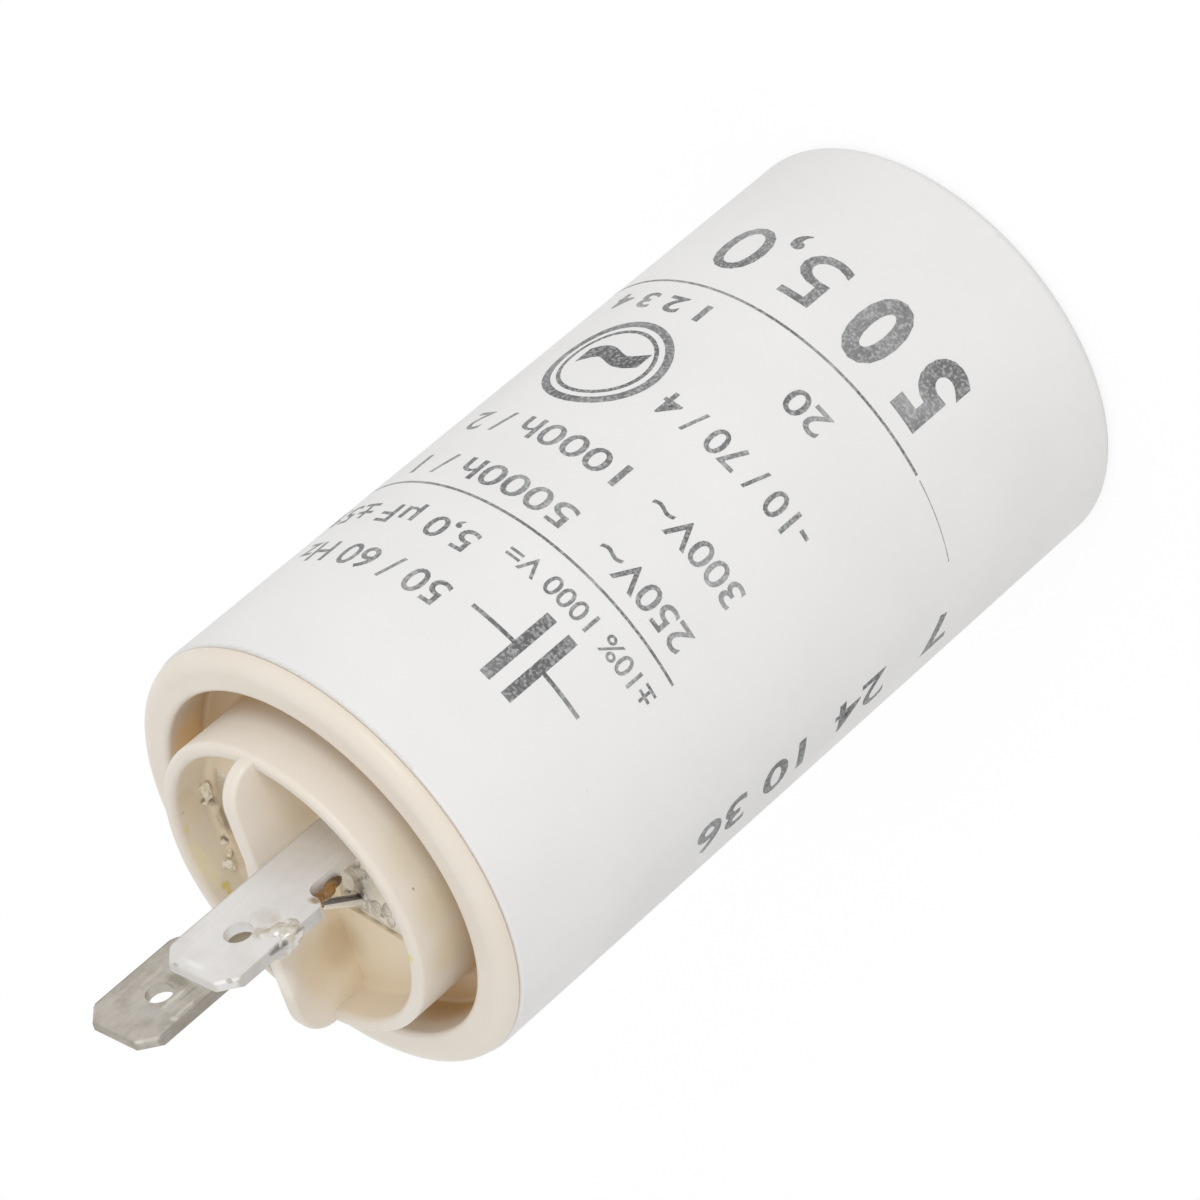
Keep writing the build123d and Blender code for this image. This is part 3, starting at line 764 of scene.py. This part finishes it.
def widthSpan(piece):
    # its least and greatest x
    xs = [vertex.co.x for vertex in piece.data.vertices]
    return min(xs), max(xs)


def layText(words, capHeight, width, weight):
    # flat text as a mesh, its lower left corner at the origin
    capShare = 0.73              # of the font's size
    halfDepth = 0.02             # before it is scaled
    deselectAll()
    bpy.ops.object.text_add()
    text = bpy.context.object
    text.data.body = words
    text.data.size = 1.0
    text.data.offset = weight
    text.data.resolution_u = 4
    text.data.extrude = halfDepth
    bpy.ops.object.convert(target="MESH")
    piece = bpy.context.object
    left, right = widthSpan(piece)
    depth = printInk["depth"] * mm / (2 * halfDepth)
    piece.scale = (width * mm / (right - left), capHeight * mm / capShare, depth)
    piece.location = (-left * piece.scale.x, 0, 0)
    settle(piece)
    return piece


def alongCase(angle):
    # the flat layout's x for an angle round the case, 0 where the case faces -Y
    return caseRadius * math.radians(angle + 90)


def standUp(piece, angle, height, turn=0.0):
    piece.matrix_world = (
        Matrix.Translation((alongCase(angle), printInk["depth"] * mm / 2, height * mm))
        @ Matrix.Rotation(-turn, 4, "Y") @ Matrix.Rotation(math.radians(90), 4, "X")
    )
    settle(piece)
    return piece


def layLine(row, turn=0.0):
    words, angle, foot, tall, wide, weight = row
    return standUp(layText(words, tall, wide, weight), angle, foot, turn)


def flatBlock(x, z, width, height):
    # a flat mark, given by its middle
    deselectAll()
    bpy.ops.mesh.primitive_cube_add(size=1, location=(x, printInk["depth"] * mm / 2, z))
    block = bpy.context.object
    block.scale = (width, printInk["depth"] * mm, height)
    settle(block)
    return block


def flatRing(angle, height, radius, line):
    # a flat band, given by its middle, its radius and its line's width
    outer, inner = radius + line / 2, radius - line / 2
    middle = (alongCase(angle), printInk["depth"] * mm / 2, height * mm)
    deselectAll()
    bpy.ops.mesh.primitive_circle_add(
        vertices=96, radius=outer * mm, location=middle, rotation=(math.radians(90), 0, 0))
    ring = bpy.context.object
    settle(ring)
    bpy.ops.object.mode_set(mode="EDIT")
    bpy.ops.mesh.select_all(action="SELECT")
    bpy.ops.mesh.extrude_edges_indiv()
    bpy.ops.transform.resize(value=(inner / outer, 1, inner / outer), center_override=middle)
    bpy.ops.object.mode_set(mode="OBJECT")
    modify(ring, "SOLIDIFY", thickness=printInk["depth"] * mm, offset=0)
    return ring


def makePrint():
    v = printInk
    parts = [layLine(row) for row in v["lines"]]
    parts += [layLine(row, math.radians(90)) for row in v["upright"]]
    for angle, height, endAngle, thick in v["rules"]:
        left, right = alongCase(angle), alongCase(endAngle)
        parts.append(flatBlock((left + right) / 2, height * mm, right - left, thick * mm))
    middle = alongCase(v["signAngle"])
    for side in (-1, 1):
        for away, wide, tall in v["signMarks"]:
            parts.append(flatBlock(middle + side * away * mm, v["signHeight"] * mm, wide * mm, tall * mm))
    parts += [flatRing(*ring) for ring in v["rings"]]
    parts.append(layLine(v["wave"]))
    printed = joined("case_print", parts)
    bpy.ops.object.mode_set(mode="EDIT")
    bpy.ops.mesh.select_all(action="SELECT")
    bpy.ops.mesh.remove_doubles(threshold=v["mergeWithin"] * mm)
    left, right = widthSpan(printed)
    for step in range(1, int((right - left) / (v["strip"] * mm))):
        cut = left + step * v["strip"] * mm
        bpy.ops.mesh.select_all(action="SELECT")
        bpy.ops.mesh.bisect(plane_co=(cut, 0, 0), plane_no=(1, 0, 0), threshold=v["cutWithin"] * mm)
    bpy.ops.object.mode_set(mode="OBJECT")
    left, right = widthSpan(printed)
    modify(printed, "SIMPLE_DEFORM", deform_method="BEND", deform_axis="Z", angle=(right - left) / caseRadius)
    printed.location = (0, -caseRadius - v["proud"] * mm, 0)
    settle(printed)
    return printed


def makeInk():
    v = printInk
    material, tree, shader, place = newMaterial("greyInk", IOR=1.45)
    thin = groupMask(tree, softClouds, place, Scale=v["wornScale"], Low=v["wornFrom"], High=v["wornTo"])
    gaps = groupMask(
        tree, softClouds, place, Scale=v["gapScale"], Low=v["gapFrom"], High=v["gapTo"],
        Detail=v["gapDetail"])
    colour = blendColours(tree, thin, v["ink"], v["worn"])
    colour = paintStainsAndLight(tree, place, colour, v["stainsAndPaintedLight"])
    colour = blendColours(tree, gaps, colour, v["gap"], v["gapShare"])
    surfaced(tree, shader, colour, ranged(tree, gaps, v["smooth"], v["rough"]), gaps, v["gapDepth"])
    return material


casePrint = makePrint()
dress(casePrint, makeInk())
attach(casePrint, "root")
print("print laid round the case,", len(casePrint.data.polygons), "faces")


# plain studio: pale floor, even sky, one soft low lamp in front
studio = {
    "floorSize": 8.0, "floorColour": (0.80, 0.80, 0.80), "floorClouded": (0.79, 0.79, 0.79), "floorScale": 3,
    "floorRough": 0.7, "seenWhite": 1.08, "seenShare": 0.78,
    "sky": (1.0, 0.995, 0.985), "skyStrength": 0.86,
    "lampAngle": -72, "lampRise": 13, "lampDistance": 0.8, "lampSize": 0.3, "lampPower": 1.4,
    "lampAim": 0.7,              # of the rim's height
}


def cameraWhite(tree, share):
    # share for rays that show the background: straight, in gloss and through glass
    rays = addNode(tree, "ShaderNodeLightPath").outputs
    seen = calc(tree, "MAXIMUM", rays["Is Camera Ray"], rays["Is Glossy Ray"])
    seen = calc(tree, "MAXIMUM", seen, rays["Is Transmission Ray"])
    return calc(tree, "MULTIPLY", seen, share)


def makeStudio():
    v = studio
    deselectAll()
    bpy.ops.mesh.primitive_plane_add(size=v["floorSize"])
    floor = bpy.context.object
    floor.name = "floor"
    material, tree, shader, place = newMaterial("floorPale", Roughness=v["floorRough"])
    tint = groupMask(tree, softClouds, place, Scale=v["floorScale"])
    tree.links.new(blendColours(tree, tint, v["floorColour"], v["floorClouded"]), shader.inputs["Base Color"])
    glow = addNode(tree, "ShaderNodeEmission", Strength=v["seenWhite"])
    mixed = addNode(tree, "ShaderNodeMixShader")
    tree.links.new(cameraWhite(tree, v["seenShare"]), mixed.inputs["Fac"])
    tree.links.new(shader.outputs["BSDF"], mixed.inputs[1])
    tree.links.new(glow.outputs["Emission"], mixed.inputs[2])
    tree.links.new(mixed.outputs["Shader"], tree.nodes["Material Output"].inputs["Surface"])
    floor.data.materials.append(material)

    world = bpy.data.worlds.new("studio")
    bpy.context.scene.world = world
    world.use_nodes = True
    tree = world.node_tree
    sky = tree.nodes["Background"]
    sky.inputs["Color"].default_value = (*v["sky"], 1)
    sky.inputs["Strength"].default_value = v["skyStrength"]
    seen = addNode(tree, "ShaderNodeBackground", Color=(1, 1, 1, 1), Strength=1.0)
    mixed = addNode(tree, "ShaderNodeMixShader")
    tree.links.new(cameraWhite(tree, 1.0), mixed.inputs["Fac"])
    tree.links.new(sky.outputs["Background"], mixed.inputs[1])
    tree.links.new(seen.outputs["Background"], mixed.inputs[2])
    tree.links.new(mixed.outputs["Shader"], tree.nodes["World Output"].inputs["Surface"])

    angle, rise = math.radians(v["lampAngle"]), math.radians(v["lampRise"])
    aim = Vector((0, 0, rimHeight * v["lampAim"]))
    away = Vector((math.cos(angle) * math.cos(rise), math.sin(angle) * math.cos(rise), math.sin(rise)))
    deselectAll()
    bpy.ops.object.light_add(type="AREA", location=aim + away * v["lampDistance"])
    lamp = bpy.context.object
    lamp.data.size = v["lampSize"]
    lamp.data.energy = v["lampPower"]
    lamp.rotation_euler = away.to_track_quat("Z", "Y").to_euler()


# the camera looks down at 29 degrees and is rolled, so the case lies slantwise
camera = {
    "place": (0.001234, -0.315974, 0.210476), "tilt": 60.57, "roll": -130.49,
    "lens": 167.42, "sensor": 36.0,
}


def makeCamera():
    v = camera
    deselectAll()
    bpy.ops.object.camera_add(location=v["place"])
    eye = bpy.context.object
    turn = Matrix.Rotation(math.radians(v["tilt"]), 3, "X") @ Matrix.Rotation(math.radians(v["roll"]), 3, "Z")
    eye.rotation_euler = turn.to_euler()
    eye.data.lens = v["lens"]
    eye.data.sensor_width = v["sensor"]
    bpy.context.scene.camera = eye


makeStudio()
makeCamera()
bpy.context.scene.view_settings.view_transform = "Standard"
print("studio and camera set")
